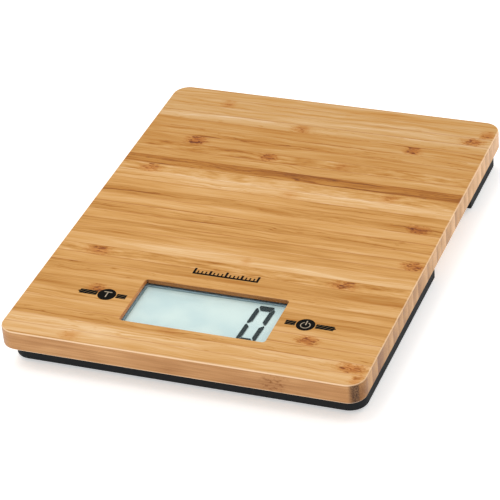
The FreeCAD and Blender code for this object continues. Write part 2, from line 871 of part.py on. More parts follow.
def make_tray_inside(body):
    """Ribs, overload stops, battery bay, switch posts and button guide on the tray's floor."""
    floor = "tray_base + tray_wall"
    for number, x in enumerate(("-tray_rib_x", "tray_rib_x")):
        pad_rectangle(body, f"tray_long_rib_{number}", floor, f"tray_rib_top - ({floor})",
                      x, "(tray_rear + tray_front) / 2", "rib_width",
                      "tray_rear - tray_front - 2 * tray_wall + 2 * tray_rib_overlap")
    for number, y in enumerate(("tray_rib_front", "tray_rib_rear")):
        pad_rectangle(body, f"tray_cross_rib_{number}", floor, f"tray_rib_top - ({floor})",
                      "0", y, "tray_width - 2 * tray_wall + 2 * tray_rib_overlap", "rib_width")
    stops = [(f"{side}stop_x", f"{end}stop_y") for side in ("-", "") for end in ("-", "")]
    pad_circles(body, "tray_stops", floor, f"stop_top - ({floor})", stops, "stop_diameter")
    pad_rectangle(body, "tray_bay", floor, f"bay_top - ({floor})",
                  "bay_x", "bay_y", "bay_width", "bay_depth")
    pad_circles(body, "tray_button_guide", floor, f"unit_guide_top - ({floor})",
                [("unit_x", "unit_y")], "unit_guide + 2")
    pad_circles(body, "tray_switch_posts", floor, f"switch_board_base - ({floor})",
                SWITCH_SCREWS, "switch_post")


def make_tray_holes(body):
    """Everything that is open through the tray's floor or sunk into it."""
    floor = "tray_base + tray_wall"
    pocket_circles(body, "tray_foot_sockets", "tray_base", "foot_top - tray_base",
                   list(FEET.values()), "socket_diameter")
    pocket_circles(body, "tray_access_holes", "tray_base", "tray_wall",
                   UPPER_CELL_SCREWS, "upper_screw_access")
    pocket_circles(body, "tray_cell_holes", "tray_base", "tray_wall",
                   LOWER_CELL_SCREWS, "cell_screw_hole")
    pocket_circles(body, "tray_cell_counterbores", "tray_base", "lower_screw_head_height",
                   LOWER_CELL_SCREWS, "lower_screw_counterbore")
    # Button: bore through the floor, wider room above it, and holes in the switch posts
    pocket_circles(body, "tray_button_bore", "tray_base", "tray_wall",
                   [("unit_x", "unit_y")], "unit_bore")
    pocket_circles(body, "tray_button_room", floor, f"switch_board_base - ({floor})",
                   [("unit_x", "unit_y")], "unit_guide")
    thread = "(switch_screw_length - switch_board_top + switch_board_base)"
    pocket_circles(body, "tray_post_holes", f"switch_board_base - {thread}", thread,
                   SWITCH_SCREWS, "switch_screw")
    # Battery bay: door opening, room for the cell, channel for the hinge, hook and tail slots
    rear = "(hinge_y + hinge_diameter / 2 + door_gap)"
    front = "(door_front - door_gap)"
    opening_width = "door_width + 2 * door_gap"
    pocket_rectangle(body, "bay_opening", "tray_base", "tray_wall",
                     "bay_x", f"({rear} + {front}) / 2", opening_width, f"{rear} - {front}")
    pocket_rectangle(body, "bay_room", floor, f"bay_room_top - ({floor})",
                     "bay_x", "battery_y", "bay_room_width", "bay_room_depth")
    channel = "hinge_diameter + 2 * door_gap"
    pocket_rectangle(body, "bay_hinge_channel", floor, f"hinge_height + ({channel}) / 2 - ({floor})",
                     "bay_x", "hinge_y", opening_width, channel)
    pocket_rectangle(body, "bay_hook_slot", floor, f"hook_top + 0.6 - ({floor})",
                     "bay_x", "hook_front + hook_depth / 2",
                     "hook_width + 2 * door_gap", "hook_depth + 4 * door_gap")
    for tail, x in (("positive", "positive_tail_x"), ("negative", "negative_tail_x")):
        pocket_rectangle(body, f"bay_{tail}_slot", "bay_room_top", "bay_top - bay_room_top",
                         x, "battery_y", "tail_slot_width", "tail_slot_depth")
    reach = "(door_width / 2 + hinge_pin_reach + 0.2)"
    bore = new_sketch(body, "bay_pin_bore_sketch", f"bay_x - {reach}", "YZ_Plane")
    add_circle(bore, "hinge_y", "hinge_height", "hinge_pin_bore")
    pocket(body, "bay_pin_bore", bore, f"2 * {reach}")


def make_feet():
    """Soft round feet, dished below, glued into sockets."""
    for label, (x, y) in FEET.items():
        body = new_body(label)
        revolve(body, label + "_turned", [
            ("0", "foot_dish"),
            ("foot_diameter / 2 - foot_tread - foot_slope", "foot_dish"),
            ("foot_diameter / 2 - foot_tread", "0"),
            ("foot_diameter / 2", "0"),
            ("foot_diameter / 2", "foot_top"),
            ("0", "foot_top"),
        ])
        round_edges(body, label + "_rounding", "foot_rounding",
                    lambda edge: is_level_at(edge, "0")
                    and edge.BoundBox.XLength > size("foot_diameter") - 1)
        add_node(place(body, x, y, "0"), label)


# ---------------------------------------------------------------- battery and its door

def make_battery():
    """Coin cell: a wide can with a slightly smaller cap under it."""
    can = disc("battery_can", "bay_x", "battery_y", "battery_base + battery_cap_height",
               "battery_diameter", "battery_height - battery_cap_height")
    cap = disc("battery_cap", "bay_x", "battery_y", "battery_base",
               "battery_diameter - 2 * battery_cap_margin", "battery_cap_height")
    add_node(joined("battery_shell", "Part::MultiFuse", [can, cap]), "battery_cell")


def make_battery_contacts():
    """Two sprung strips of nickelled steel whose tails go up through the bay's roof."""
    thickness = size("contact_thickness")
    width = size("tail_slot_depth") - 2 * thickness
    tail_top = size("bay_top + contact_tail_rise")
    middle_y = size("battery_y")
    middle_x = size("bay_x")

    # The positive strip stands beside the can, and its bend presses on the rim
    rim = size("bay_x - battery_diameter / 2")
    bend_height = size("battery_base") + 1.8
    bend_half = 1.0
    tail_x = size("positive_tail_x")
    positive_path = [
        Vector(tail_x, middle_y, tail_top),
        Vector(tail_x, middle_y, bend_height + bend_half),
        Vector(rim - thickness, middle_y, bend_height),
        Vector(tail_x, middle_y, bend_height - bend_half),
    ]
    add_node(shaped("positive_strip", bent_strip(positive_path, thickness, width)),
             "battery_contact_positive")

    # The negative strip runs under the bay's roof, then slopes down to the can's middle
    roof = size("bay_room_top") - thickness
    flat_run = 3.0
    toe = 4.0
    toe_lift = 0.3
    face = size("battery_base + battery_height") + thickness
    tail_x = size("negative_tail_x")
    negative_path = [
        Vector(tail_x, middle_y, tail_top),
        Vector(tail_x, middle_y, roof),
        Vector(tail_x - flat_run, middle_y, roof),
        Vector(middle_x, middle_y, face),
        Vector(middle_x - toe, middle_y, face + toe_lift),
    ]
    add_node(shaped("negative_strip", bent_strip(negative_path, thickness, width)),
             "battery_contact_negative")


def make_battery_door():
    """Door flush with the tray's underside, turning on a round edge with two pins."""
    body = new_body("door")
    thickness = "door_top - tray_base"
    pad_rectangle(body, "door_panel", "tray_base", thickness,
                  "bay_x", "(door_front + hinge_y) / 2", "door_width", "hinge_y - door_front")
    barrel = new_sketch(body, "door_barrel_sketch", "bay_x - door_width / 2", "YZ_Plane")
    add_circle(barrel, "hinge_y", "hinge_height", "hinge_diameter")
    pad(body, "door_barrel", barrel, "door_width")
    reach = "(door_width / 2 + hinge_pin_reach)"
    pins = new_sketch(body, "door_pins_sketch", f"bay_x - {reach}", "YZ_Plane")
    add_circle(pins, "hinge_y", "hinge_height", "hinge_pin")
    pad(body, "door_pins", pins, f"2 * {reach}")
    pad_rectangle(body, "door_hook", "door_top", "hook_top - door_top",
                  "bay_x", "hook_front + hook_depth / 2", "hook_width", "hook_depth")
    grooves = 3
    for number in range(grooves):
        pocket_rectangle(body, f"door_grip_{number}", "tray_base", "door_groove_depth",
                         "bay_x", f"door_front + door_groove_inset + {number} * door_groove_pitch",
                         "hook_width + 2 * door_groove_overhang", "door_groove_width")
    add_node(body, "battery_door")

    pad_height = "battery_base - door_top"
    add_node(disc("door_foam", "bay_x", "battery_y", "door_top", "pad_diameter", pad_height),
             "door_pad")


# ---------------------------------------------------------------- unit button and switch

def make_unit_button():
    """Round button in the underside; a flange keeps it in, a switch pushes it out."""
    body = new_body("unit_button")
    revolve(body, "unit_turned", [
        ("0", "unit_base"),
        ("unit_cap / 2 - 0.4", "unit_base"),
        ("unit_cap / 2", "unit_base + 0.4"),
        ("unit_cap / 2", "unit_flange_base"),
        ("unit_flange / 2", "unit_flange_base"),
        ("unit_flange / 2", "unit_top"),
        ("0", "unit_top"),
    ])
    add_node(place(body, "unit_x", "unit_y", "0"), "unit_button")
    plunger = disc("plunger_rod", "unit_x", "unit_y", "unit_top",
                   "plunger_diameter", "plunger_top - unit_top")
    add_node(plunger, "switch_plunger")


def make_switch():
    """Push switch, hanging under a small board on two posts."""
    case = block("switch_case", "unit_x", "unit_y", "switch_base",
                 "switch_size", "switch_size", "switch_board_base - switch_base")
    room = disc("switch_room", "unit_x", "unit_y", "switch_base",
                "plunger_bore", "plunger_room_top - switch_base")
    add_node(cut("switch_housing", case, room), "switch_body")

    body = new_body("switch_board")
    thickness = "switch_board_top - switch_board_base"
    pad_rectangle(body, "switch_panel", "switch_board_base", thickness,
                  "unit_x", "unit_y", "switch_board_width", "switch_board_depth")
    pocket_circles(body, "switch_panel_holes", "switch_board_base", thickness,
                   SWITCH_SCREWS, "switch_screw + 0.2")
    add_node(body, "switch_board")


# ---------------------------------------------------------------- fasteners

def make_screws():
    wood_length = "(wood_screw_tip - {seat})"
    module = screw_pattern("module_screw", "wood_screw", wood_length.format(seat="board_base"),
                           "wood_screw_head", "wood_screw_head_height")
    screw_set("display_module_screws", module, MODULE_SCREWS, "board_base")
    carrier = screw_pattern("carrier_screw", "wood_screw", wood_length.format(seat="carrier_base"),
                            "wood_screw_head", "wood_screw_head_height")
    screw_set("carrier_screws", carrier, CARRIER_SCREWS, "carrier_base")
    upper = screw_pattern("upper_cell_screw", "cell_screw", "upper_screw_length",
                          "cell_screw_head", "upper_screw_head_height")
    screw_set("load_cell_upper_screws", upper, UPPER_CELL_SCREWS, "cell_base")
    lower = screw_pattern("lower_cell_screw", "cell_screw", "lower_screw_length",
                          "cell_screw_head", "lower_screw_head_height")
    screw_set("load_cell_lower_screws", lower, LOWER_CELL_SCREWS,
              "tray_base + lower_screw_head_height")
    switch = screw_pattern("switch_screw_part", "switch_screw", "switch_screw_length - 0.2",
                           "switch_screw_head", "switch_screw_head_height")
    screw_set("switch_board_screws", switch, SWITCH_SCREWS, "switch_board_top", from_above=True)


# ---------------------------------------------------------------- wiring

def make_wires():
    """Insulated wires from battery, load cell and switch to the underside of the main board."""
    routes = {
        "battery_wires": battery_routes(),
        "load_cell_cable": cell_routes(),
        "switch_wires": switch_routes(),
    }
    for label, wires in routes.items():
        tubes = [tube(points, WIRE) for points in wires]
        add_node(shaped(label + "_tubes", Part.makeCompound(tubes)), label)


def battery_routes():
    """From the top of each contact's tail, back over the bay and up to the board."""
    level = size("bay_top + contact_tail_rise") + WIRE / 2
    start_y = size("battery_y")
    rear_y = start_y + 6.0
    landing_y = start_y + 2.0
    routes = []
    for tail, landing_x in (("positive_tail_x", -44.0), ("negative_tail_x", -26.0)):
        x = size(tail)
        routes.append([
            Vector(x, start_y, level),
            Vector(x, rear_y, level),
            Vector(landing_x, rear_y, level),
            Vector(landing_x, landing_y, level),
            Vector(landing_x, landing_y, size("board_base")),
        ])
    return routes


def cell_routes():
    """Four wires side by side: out of the load cell's flank, forwards, and up to the board."""
    count = 4
    flank = size("cell_width / 2")
    nearest = flank + 2.0
    level = size("cell_top") - 1.9
    level_run = 20.0
    landing_y = -54.0
    climb_run = 8.0
    slack_rise = 0.4
    corner_rise = 1.4
    routes = []
    for number in range(count):
        x = nearest + (count - 1 - number) * WIRE_PITCH
        y = -number * WIRE_PITCH
        routes.append([
            Vector(flank, y, level),
            Vector(x, y, level),
            Vector(x, y - level_run, level),
            Vector(x, landing_y + climb_run, level + slack_rise),
            Vector(x, landing_y, level + corner_rise),
            Vector(x, landing_y, size("board_base")),
        ])
    return routes


def switch_routes():
    """Two wires from the switch board's edge, sideways and up to the main board."""
    count = 2
    edge = size("unit_x - switch_board_width / 2")
    level = size("(switch_board_base + switch_board_top) / 2")
    reach = 4.0
    first_y = size("unit_y") - 4.0
    routes = []
    for number in range(count):
        y = first_y - number * WIRE_PITCH
        routes.append([
            Vector(edge, y, level),
            Vector(edge - reach, y, level),
            Vector(edge - reach, y, size("board_base")),
        ])
    return routes


# ---------------------------------------------------------------- build, check, export

def check_document():
    """Stops if any feature failed, cut nothing, or left a sub-part without a valid shape."""
    doc.recompute()
    for feature in doc.Objects:
        if "Invalid" in feature.State or "Error" in feature.State:
            raise RuntimeError(f"{feature.Name} failed: {feature.State}")
        if feature.TypeId == "PartDesign::Pocket":
            if feature.BaseFeature.Shape.Volume - feature.Shape.Volume < NEAR:
                raise RuntimeError(f"{feature.Name} removes nothing")
    for node in nodes:
        if node.Shape.isNull() or not node.Shape.isValid() or not node.Shape.Solids:
            raise RuntimeError(f"{node.Label} has no valid shape")


def export_parts():
    os.makedirs("parts", exist_ok=True)
    for node in nodes:
        node.Shape.exportStep(f"parts/{node.Label}.step")
        print(node.Label, len(node.Shape.Solids), "solid(s)", round(node.Shape.Volume, 1), "mm3")


make_plate()
make_lens()
make_display_frame()
make_display_layers()
make_main_board()
make_board_parts()
make_touch_springs()
make_carrier()
make_load_cell()
make_cell_pad("load_cell_upper_spacer", "cell_top", "carrier_base - cell_top", UPPER_CELL_SCREWS)
make_cell_pad("load_cell_lower_spacer", "tray_base + tray_wall",
              "cell_base - tray_base - tray_wall", LOWER_CELL_SCREWS)
make_strain_gauges()
make_tray()
make_feet()
make_battery()
make_battery_contacts()
make_battery_door()
make_unit_button()
make_switch()
make_screws()
make_wires()
check_document()
export_parts()
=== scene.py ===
import json
import math

import bpy
from mathutils import Matrix, Vector


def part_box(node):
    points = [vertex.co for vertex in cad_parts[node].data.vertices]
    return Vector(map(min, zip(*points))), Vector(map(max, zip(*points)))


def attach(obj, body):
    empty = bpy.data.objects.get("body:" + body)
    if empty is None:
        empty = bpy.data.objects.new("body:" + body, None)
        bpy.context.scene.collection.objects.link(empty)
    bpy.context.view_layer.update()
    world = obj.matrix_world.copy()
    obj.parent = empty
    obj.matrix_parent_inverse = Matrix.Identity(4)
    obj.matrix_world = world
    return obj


# The looks of an electronic kitchen scale: materials for the CAD frame, the print
# on the wood, the digit in the display, and the studio around it.
# Everything is in metres: +X right, +Y away from the display, +Z up.

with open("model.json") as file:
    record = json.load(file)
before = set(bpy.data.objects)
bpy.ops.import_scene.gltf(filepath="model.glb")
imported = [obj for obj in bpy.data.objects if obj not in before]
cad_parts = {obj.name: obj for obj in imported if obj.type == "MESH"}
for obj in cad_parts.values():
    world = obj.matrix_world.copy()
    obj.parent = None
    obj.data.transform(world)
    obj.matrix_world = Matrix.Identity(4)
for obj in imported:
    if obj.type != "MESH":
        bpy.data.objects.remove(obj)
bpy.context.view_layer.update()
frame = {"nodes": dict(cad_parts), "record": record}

MM = 0.001


def rgb(red, green, blue):
    """A colour as seen on a screen, 0 to 255, turned into linear light."""
    def linear(level):
        share = level / 255
        return share / 12.92 if share <= 0.04045 else ((share + 0.055) / 1.055) ** 2.4
    return (linear(red), linear(green), linear(blue), 1.0)


# ---------------------------------------------------------------- material nodes

class Surface:
    """One material under construction. Each method adds a node and returns its output."""

    def __init__(self, name):
        self.material = bpy.data.materials.new(name)
        self.material.use_nodes = True
        self.tree = self.material.node_tree
        self.shader = self.tree.nodes["Principled BSDF"]
        place = self.tree.nodes.new("ShaderNodeTexCoord")
        self.coords = place.outputs["Object"]
        self.normal = place.outputs["Normal"]

    def node(self, kind, inputs, output=0, **settings):
        node = self.tree.nodes.new(kind)
        for key, value in settings.items():
            setattr(node, key, value)
        for key, value in inputs.items():
            if isinstance(value, bpy.types.NodeSocket):
                self.tree.links.new(value, node.inputs[key])
            else:
                node.inputs[key].default_value = value
        return node.outputs[output]

    def math(self, operation, *values, clamp=False):
        return self.node("ShaderNodeMath", dict(enumerate(values)), operation=operation, use_clamp=clamp)

    def split(self, vector):
        node = self.tree.nodes.new("ShaderNodeSeparateXYZ")
        self.tree.links.new(vector, node.inputs[0])
        return node.outputs[0], node.outputs[1], node.outputs[2]

    def join(self, x, y, z):
        return self.node("ShaderNodeCombineXYZ", {0: x, 1: y, 2: z})

    def stretch(self, vector, x, y, z):
        return self.node("ShaderNodeVectorMath", {0: vector, 1: (x, y, z)}, operation="MULTIPLY")

    def noise(self, vector, scale=1.0, detail=2.0, roughness=0.5, distortion=0.0):
        inputs = {"Vector": vector, "Scale": scale, "Detail": detail,
                  "Roughness": roughness, "Distortion": distortion}
        return self.node("ShaderNodeTexNoise", inputs)

    def step(self, value, low, high, to_low=0.0, to_high=1.0):
        """Runs smoothly from one level to another while the value runs from low to high."""
        inputs = {"Value": value, "From Min": low, "From Max": high, "To Min": to_low, "To Max": to_high}
        return self.node("ShaderNodeMapRange", inputs, interpolation_type="SMOOTHSTEP")

    def ramp(self, value, stops, interpolation="LINEAR"):
        node = self.tree.nodes.new("ShaderNodeValToRGB")
        ramp = node.color_ramp
        ramp.interpolation = interpolation
        while len(ramp.elements) < len(stops):
            ramp.elements.new(1.0)
        for element, (position, colour) in zip(ramp.elements, stops):
            element.position = position
            element.color = colour
        self.tree.links.new(value, node.inputs[0])
        return node.outputs[0]

    def mix(self, factor, first, second, blend="MIX"):
        node = self.tree.nodes.new("ShaderNodeMix")
        node.data_type = "RGBA"
        node.blend_type = blend
        for socket, value in ((node.inputs[0], factor), (node.inputs[6], first), (node.inputs[7], second)):
            if isinstance(value, bpy.types.NodeSocket):
                self.tree.links.new(value, socket)
            else:
                socket.default_value = value
        return node.outputs[2]

    def bump(self, height, distance, strength=1.0):
        return self.node("ShaderNodeBump", {"Height": height, "Distance": distance, "Strength": strength})

    def finish(self, **inputs):
        """Sets or links the principled shader's own sockets, named with _ for a space."""
        for key, value in inputs.items():
            socket = self.shader.inputs[key.replace("_", " ")]
            if isinstance(value, bpy.types.NodeSocket):
                self.tree.links.new(value, socket)
            else:
                socket.default_value = value
        return self.material


# ---------------------------------------------------------------- bamboo

STRIP = 7.25 * MM           # width of one bamboo strip in the plate
FIRST_JOINT = -116.25 * MM  # a glue joint in front of the plate, from which strips are counted
STRIP_COUNT = 31
# Strips that stand out from the rest; strip 0 is the first behind FIRST_JOINT
PALE_STRIPS = (0, 1, 2, 11, 19)
BROWN_STRIPS = (6, 9, 13, 15, 17, 22, 23, 24, 25, 26)
DARK_STRIPS = (21,)
FLECKED_STRIPS = (10, 20, 23)
# How light each kind of strip is, from 0 to 1
PALE_TONE = 0.76
ORDINARY_TONE = 0.61
BROWN_TONE = 0.50
DARK_TONE = 0.31
BAMBOO_PALETTE = (
    (0.00, rgb(116, 62, 6)),
    (0.175, rgb(148, 84, 12)),
    (0.31, rgb(180, 117, 38)),
    (0.44, rgb(190, 135, 64)),
    (0.53, rgb(201, 145, 75)),
    (0.60, rgb(207, 153, 84)),
    (0.68, rgb(212, 161, 96)),
    (0.78, rgb(219, 171, 111)),
    (1.00, rgb(234, 198, 150)),
)
# Culm knots: the strip, where along it and the half length in mm, and how dark
KNOTS = (
    (29, -53, 4.5, 0.5), (29, 81, 4.5, 0.8), (28, 76, 7.5, 0.9), (27, -9, 6.0, 0.6),
    (26, 50, 5.5, 0.8), (24, -56, 6.5, 1.0), (23, -16, 5.5, 0.8), (23, 21, 5.0, 0.4),
    (20, -69, 6.5, 0.8), (20, 52, 5.5, 0.5), (19, 5, 5.0, 0.3), (17, 73, 7.0, 0.8),
    (13, 80, 7.0, 0.9), (11, 5, 3.0, 0.3), (10, -65, 7.5, 0.8), (10, 54, 7.5, 0.8),
    (6, -53, 5.5, 0.8), (4, 52, 6.0, 1.0), (3, -9, 6.0, 0.3), (2, 77, 8.0, 1.0),
    (1, -51, 5.5, 0.5), (1, 82, 4.0, 0.7),
)


def strip_tone(index):
    """How light a strip is, from 0 to 1."""
    if index in PALE_STRIPS:
        return PALE_TONE
    if index in BROWN_STRIPS:
        return BROWN_TONE
    if index in DARK_STRIPS:
        return DARK_TONE
    return ORDINARY_TONE


def bamboo():
    """Edge-laminated bamboo: strips along X, fine fibres, culm knots, darker end grain."""
    s = Surface("bamboo")
    x, y, z = s.split(s.coords)
    place = s.math("DIVIDE", s.math("SUBTRACT", y, FIRST_JOINT), STRIP)
    number = s.math("FLOOR", place)
    across = s.math("FRACT", place)
    chance = s.node("ShaderNodeTexWhiteNoise", {"W": number}, output=1, noise_dimensions="1D")
    chance_a, chance_b, chance_c = s.split(chance)
    spot, heart = bamboo_knots(s, x, number, across)

    # Fibres wander in long waves, in short ripples and round the knots
    own_x = s.math("MULTIPLY_ADD", chance_a, 3.0, x)
    own = s.join(own_x, y, z)
    wave = s.math("SUBTRACT", s.noise(s.stretch(own, 20, 55, 55), detail=1), 0.5)
    ripple = s.math("SUBTRACT", s.noise(s.stretch(own, 85, 170, 170), detail=1), 0.5)
    lively = s.step(chance_c, 0.3, 0.9, 0.35, 1.0)
    grain_y = s.math("MULTIPLY_ADD", wave, 6.0 * MM, y)
    grain_y = s.math("MULTIPLY_ADD", s.math("MULTIPLY", ripple, lively), 2.4 * MM, grain_y)
    grain_y = s.math("MULTIPLY_ADD", spot, 1.5 * MM, grain_y)
    grain = s.join(own_x, grain_y, z)
    cloud = s.noise(s.stretch(grain, 12, 70, 70), detail=2)
    streak = s.noise(s.stretch(grain, 14, 340, 340), detail=3, roughness=0.5)
    fibre = s.noise(s.stretch(grain, 60, 2200, 2200), detail=2, roughness=0.6)
    fleck = s.noise(s.stretch(grain, 130, 850, 850), detail=2, roughness=0.6)
    vein = s.step(s.noise(s.stretch(grain, 11, 560, 560), detail=3, roughness=0.6), 0.56, 0.68)

    # Tone: the strip's own, a slope across it, then clouds, streaks, fibres and flecks
    steps = []
    for index in range(STRIP_COUNT):
        level = strip_tone(index)
        steps.append((index / STRIP_COUNT, (level, level, level, 1.0)))
    tone = s.ramp(s.math("DIVIDE", place, float(STRIP_COUNT)), steps, "CONSTANT")
    tone = s.math("ADD", tone, s.step(chance_b, 0.0, 1.0, -0.04, 0.04))
    slope = s.math("MULTIPLY", s.math("SUBTRACT", across, 0.5), s.step(chance_b, 0.0, 1.0, -0.12, 0.12))
    tone = s.math("ADD", tone, slope)
    for pattern, weight in ((cloud, 0.40), (streak, 0.66), (fibre, 0.55)):
        tone = s.math("MULTIPLY_ADD", s.math("SUBTRACT", pattern, 0.5), weight, tone)
    marks = s.math("MULTIPLY", s.step(fleck, 0.60, 0.72), s.step(chance_c, 0.4, 0.9, 0.02, 0.22))
    tone = s.math("SUBTRACT", tone, marks)
    # Short light and dark dashes, on the flecked strips alone
    dash = s.noise(s.stretch(grain, 75, 380, 380), detail=3, roughness=0.6)
    flecked = 0.0
    for strip in FLECKED_STRIPS:
        flecked = s.math("ADD", flecked, s.math("COMPARE", number, float(strip), 0.5))
    dash = s.math("MULTIPLY", s.math("SUBTRACT", dash, 0.5), flecked)
    tone = s.math("MULTIPLY_ADD", dash, 1.1, tone)

    # Veins and knots darken the tone, which then picks the colour
    tone = s.math("MULTIPLY_ADD", s.math("MULTIPLY", vein, lively), -0.26, tone)
    tone = s.math("MULTIPLY_ADD", spot, -0.17, tone)
    tone = s.math("MULTIPLY_ADD", heart, -0.42, tone)
    colour = s.ramp(tone, BAMBOO_PALETTE)

    # Knots are browner, and light strips are painted less red and bluer towards the rear, a painted sheen
    colour = s.mix(s.math("MULTIPLY", spot, 0.65), colour, rgb(234, 180, 84), "MULTIPLY")
    rear_sheen = s.math("MULTIPLY", s.step(y, 0.0, 100 * MM), s.step(tone, 0.40, 0.62))
    colour = s.mix(rear_sheen, colour, (0.92, 1.0, 1.2, 1.0), "MULTIPLY")

    # Glue joints: thin, darker, not equally plain everywhere
    edge = s.math("MINIMUM", across, s.math("SUBTRACT", 1.0, across))
    plain = s.math("MULTIPLY", s.step(cloud, 0.38, 0.60, 0.1, 0.65), s.step(chance_b, 0.2, 0.8, 0.3, 1.0))
    joint = s.math("MULTIPLY", s.step(edge, 0.0, 0.07, 1.0, 0.0), plain)
    colour = s.mix(joint, colour, rgb(196, 132, 60), "MULTIPLY")

    # The second value is the mask of the painted edge highlight, which also raises the coat there
    colour, edge_highlight = bamboo_sides(s, colour, across, chance_a, chance_b)
    rough = s.step(fibre, 0.3, 0.7, 0.36, 0.48)
    relief = s.math("MULTIPLY_ADD", fibre, 0.6, s.math("MULTIPLY", heart, -0.8))
    return s.finish(Base_Color=colour, Roughness=rough, Specular_IOR_Level=0.15,
                    Coat_Weight=s.math("MULTIPLY_ADD", edge_highlight, 0.6, 0.12), Coat_Roughness=0.18,
                    Normal=s.bump(relief, 0.03 * MM, 0.5))


def bamboo_knots(s, x, number, across):
    """The stained spot round each knot, and the dark scaly marks in its middle."""
    ragged = s.noise(s.stretch(s.coords, 330, 480, 480), detail=3, roughness=0.65)
    scales = s.noise(s.stretch(s.coords, 240, 780, 780), detail=2, roughness=0.6, distortion=0.8)
    aside = s.math("MULTIPLY", s.math("SUBTRACT", across, 0.5), 1.5)
    spot = 0.0
    for strip, knot_x, reach, darkness in KNOTS:
        along = s.math("DIVIDE", s.math("SUBTRACT", x, knot_x * MM), reach * MM)
        offset = s.join(along, aside, 0.0)
        distance = s.node("ShaderNodeVectorMath", {0: offset}, output=1, operation="LENGTH")
        distance = s.math("MULTIPLY_ADD", s.math("SUBTRACT", ragged, 0.5), 1.5, distance)
        here = s.math("COMPARE", number, float(strip), 0.5)
        spot = s.math("MAXIMUM", spot, s.math("MULTIPLY", here, s.step(distance, 0.1, 1.25, darkness, 0.0)))
    return spot, s.math("MULTIPLY", s.step(spot, 0.2, 0.7), s.step(scales, 0.50, 0.62))


def bamboo_sides(s, colour, across, chance_a, chance_b):
    """Browner long-grain edges at front and rear, banded end grain left and right."""
    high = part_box("bamboo_plate")[1]
    x, y = s.split(s.coords)[:2]
    nx, ny, nz = s.split(s.normal)
    sideways = s.math("ABSOLUTE", nx)
    end = s.step(sideways, 0.72, 0.78)
    long_edge = s.math("MULTIPLY", s.step(s.math("ABSOLUTE", ny), 0.4, 0.7), s.math("SUBTRACT", 1.0, end))
    pores = s.noise(s.coords, scale=2400.0, detail=2, roughness=0.7)

    # End grain: every strip its own tone, shaded from joint to joint, with painted light that makes it
    # paler to the rear
    mottle = s.noise(s.stretch(s.coords, 60, 160, 120), detail=3)
    end_tone = s.math("MULTIPLY_ADD", s.math("SUBTRACT", chance_a, 0.5), 0.45, 0.5)
    end_tone = s.math("MULTIPLY_ADD", s.math("SUBTRACT", across, 0.5), 0.3, end_tone)
    end_tone = s.math("MULTIPLY_ADD", s.math("SUBTRACT", pores, 0.5), 0.7, end_tone)
    end_tone = s.math("MULTIPLY_ADD", s.math("SUBTRACT", mottle, 0.5), 0.8, end_tone)
    # Painted light: the end grain gets lighter towards the rear
    end_tone = s.math("ADD", end_tone, s.step(y, -110 * MM, 90 * MM, -0.22, 0.25))
    end_colour = s.ramp(end_tone, (
        (0.0, rgb(132, 84, 40)),
        (0.5, rgb(188, 138, 82)),
        (1.0, rgb(224, 178, 130)),
    ))
    edge = s.math("MINIMUM", across, s.math("SUBTRACT", 1.0, across))
    glue = s.math("MULTIPLY", s.step(edge, 0.0, 0.09, 1.0, 0.0), s.step(chance_b, 0.3, 0.7, 0.0, 0.6))
    end_colour = s.mix(glue, end_colour, rgb(128, 78, 46))

    # Long grain: fibres along X, a little redder than the top, with one small speckled knot
    lines = s.noise(s.stretch(s.coords, 24, 100, 900), detail=3, roughness=0.6)
    patches = s.noise(s.stretch(s.coords, 30, 40, 90), detail=2)
    speckle = s.noise(s.stretch(s.coords, 300, 300, 500), detail=3, roughness=0.7)
    from_knot = s.math("ABSOLUTE", s.math("SUBTRACT", x, 46 * MM))
    edge_tone = s.math("MULTIPLY_ADD", s.math("SUBTRACT", lines, 0.5), 0.9, 0.55)
    edge_tone = s.math("MULTIPLY_ADD", s.math("SUBTRACT", patches, 0.5), 0.9, edge_tone)
    edge_tone = s.math("MULTIPLY_ADD", s.math("SUBTRACT", pores, 0.5), 0.3, edge_tone)
    knot = s.step(from_knot, 2 * MM, 9 * MM, 1.0, 0.0)
    knot = s.math("MULTIPLY", knot, s.step(speckle, 0.48, 0.66, 0.06, 0.45))
    edge_tone = s.math("SUBTRACT", edge_tone, knot)
    edge_colour = s.ramp(edge_tone, (
        (0.0, rgb(134, 80, 36)),
        (0.5, rgb(184, 132, 82)),
        (1.0, rgb(220, 170, 116)),
    ))
    colour = s.mix(end, colour, end_colour)
    colour = s.mix(long_edge, colour, edge_colour)

    # The walls of the display window are painted browner than the outer edges with painted light and shade:
    # a shaded dark brown, and a lit orange on walls that face +X
    reach_x = s.step(s.math("ABSOLUTE", x), high[0] - 12 * MM, high[0] - 8 * MM)
    reach_y = s.step(s.math("ABSOLUTE", y), high[1] - 12 * MM, high[1] - 8 * MM)
    outer = s.math("MAXIMUM", reach_x, reach_y)
    upright = s.step(s.math("ABSOLUTE", nz), 0.5, 0.95, 1.0, 0.0)
    window_wall_light_and_shade = s.math("MULTIPLY", s.math("SUBTRACT", 1.0, outer), upright)
    stain_and_wall_shade = s.mix(s.step(nx, 0.3, 0.8), rgb(158, 96, 44), rgb(226, 142, 76))
    colour = s.mix(s.math("MULTIPLY", window_wall_light_and_shade, 0.75), colour, stain_and_wall_shade)

    # Round edges get a painted highlight, weaker where they face sideways; where the right corners cut the
    # fibres at a slant they are dark
    level = s.math("ABSOLUTE", nz)
    edge_highlight = s.math("MULTIPLY", s.step(level, 0.25, 0.50), s.step(level, 0.75, 0.92, 1.0, 0.0))
    edge_highlight = s.math("MULTIPLY", s.math("MULTIPLY", edge_highlight, outer), s.step(sideways, 0.0, 0.7, 1.0, 0.5))
    colour = s.mix(s.math("MULTIPLY", edge_highlight, 0.9), colour, rgb(255, 218, 176))
    slanted = s.math("MULTIPLY", s.step(nx, 0.20, 0.50), s.step(nx, 0.74, 0.80, 1.0, 0.0))
    slanted = s.math("MULTIPLY", slanted, s.step(level, 0.2, 0.7, 1.0, 0.0))
    soaked = s.math("MULTIPLY", slanted, s.step(pores, 0.35, 0.62, 1.0, 0.65))
    return s.mix(soaked, colour, rgb(56, 30, 14)), edge_highlight


# ---------------------------------------------------------------- other materials

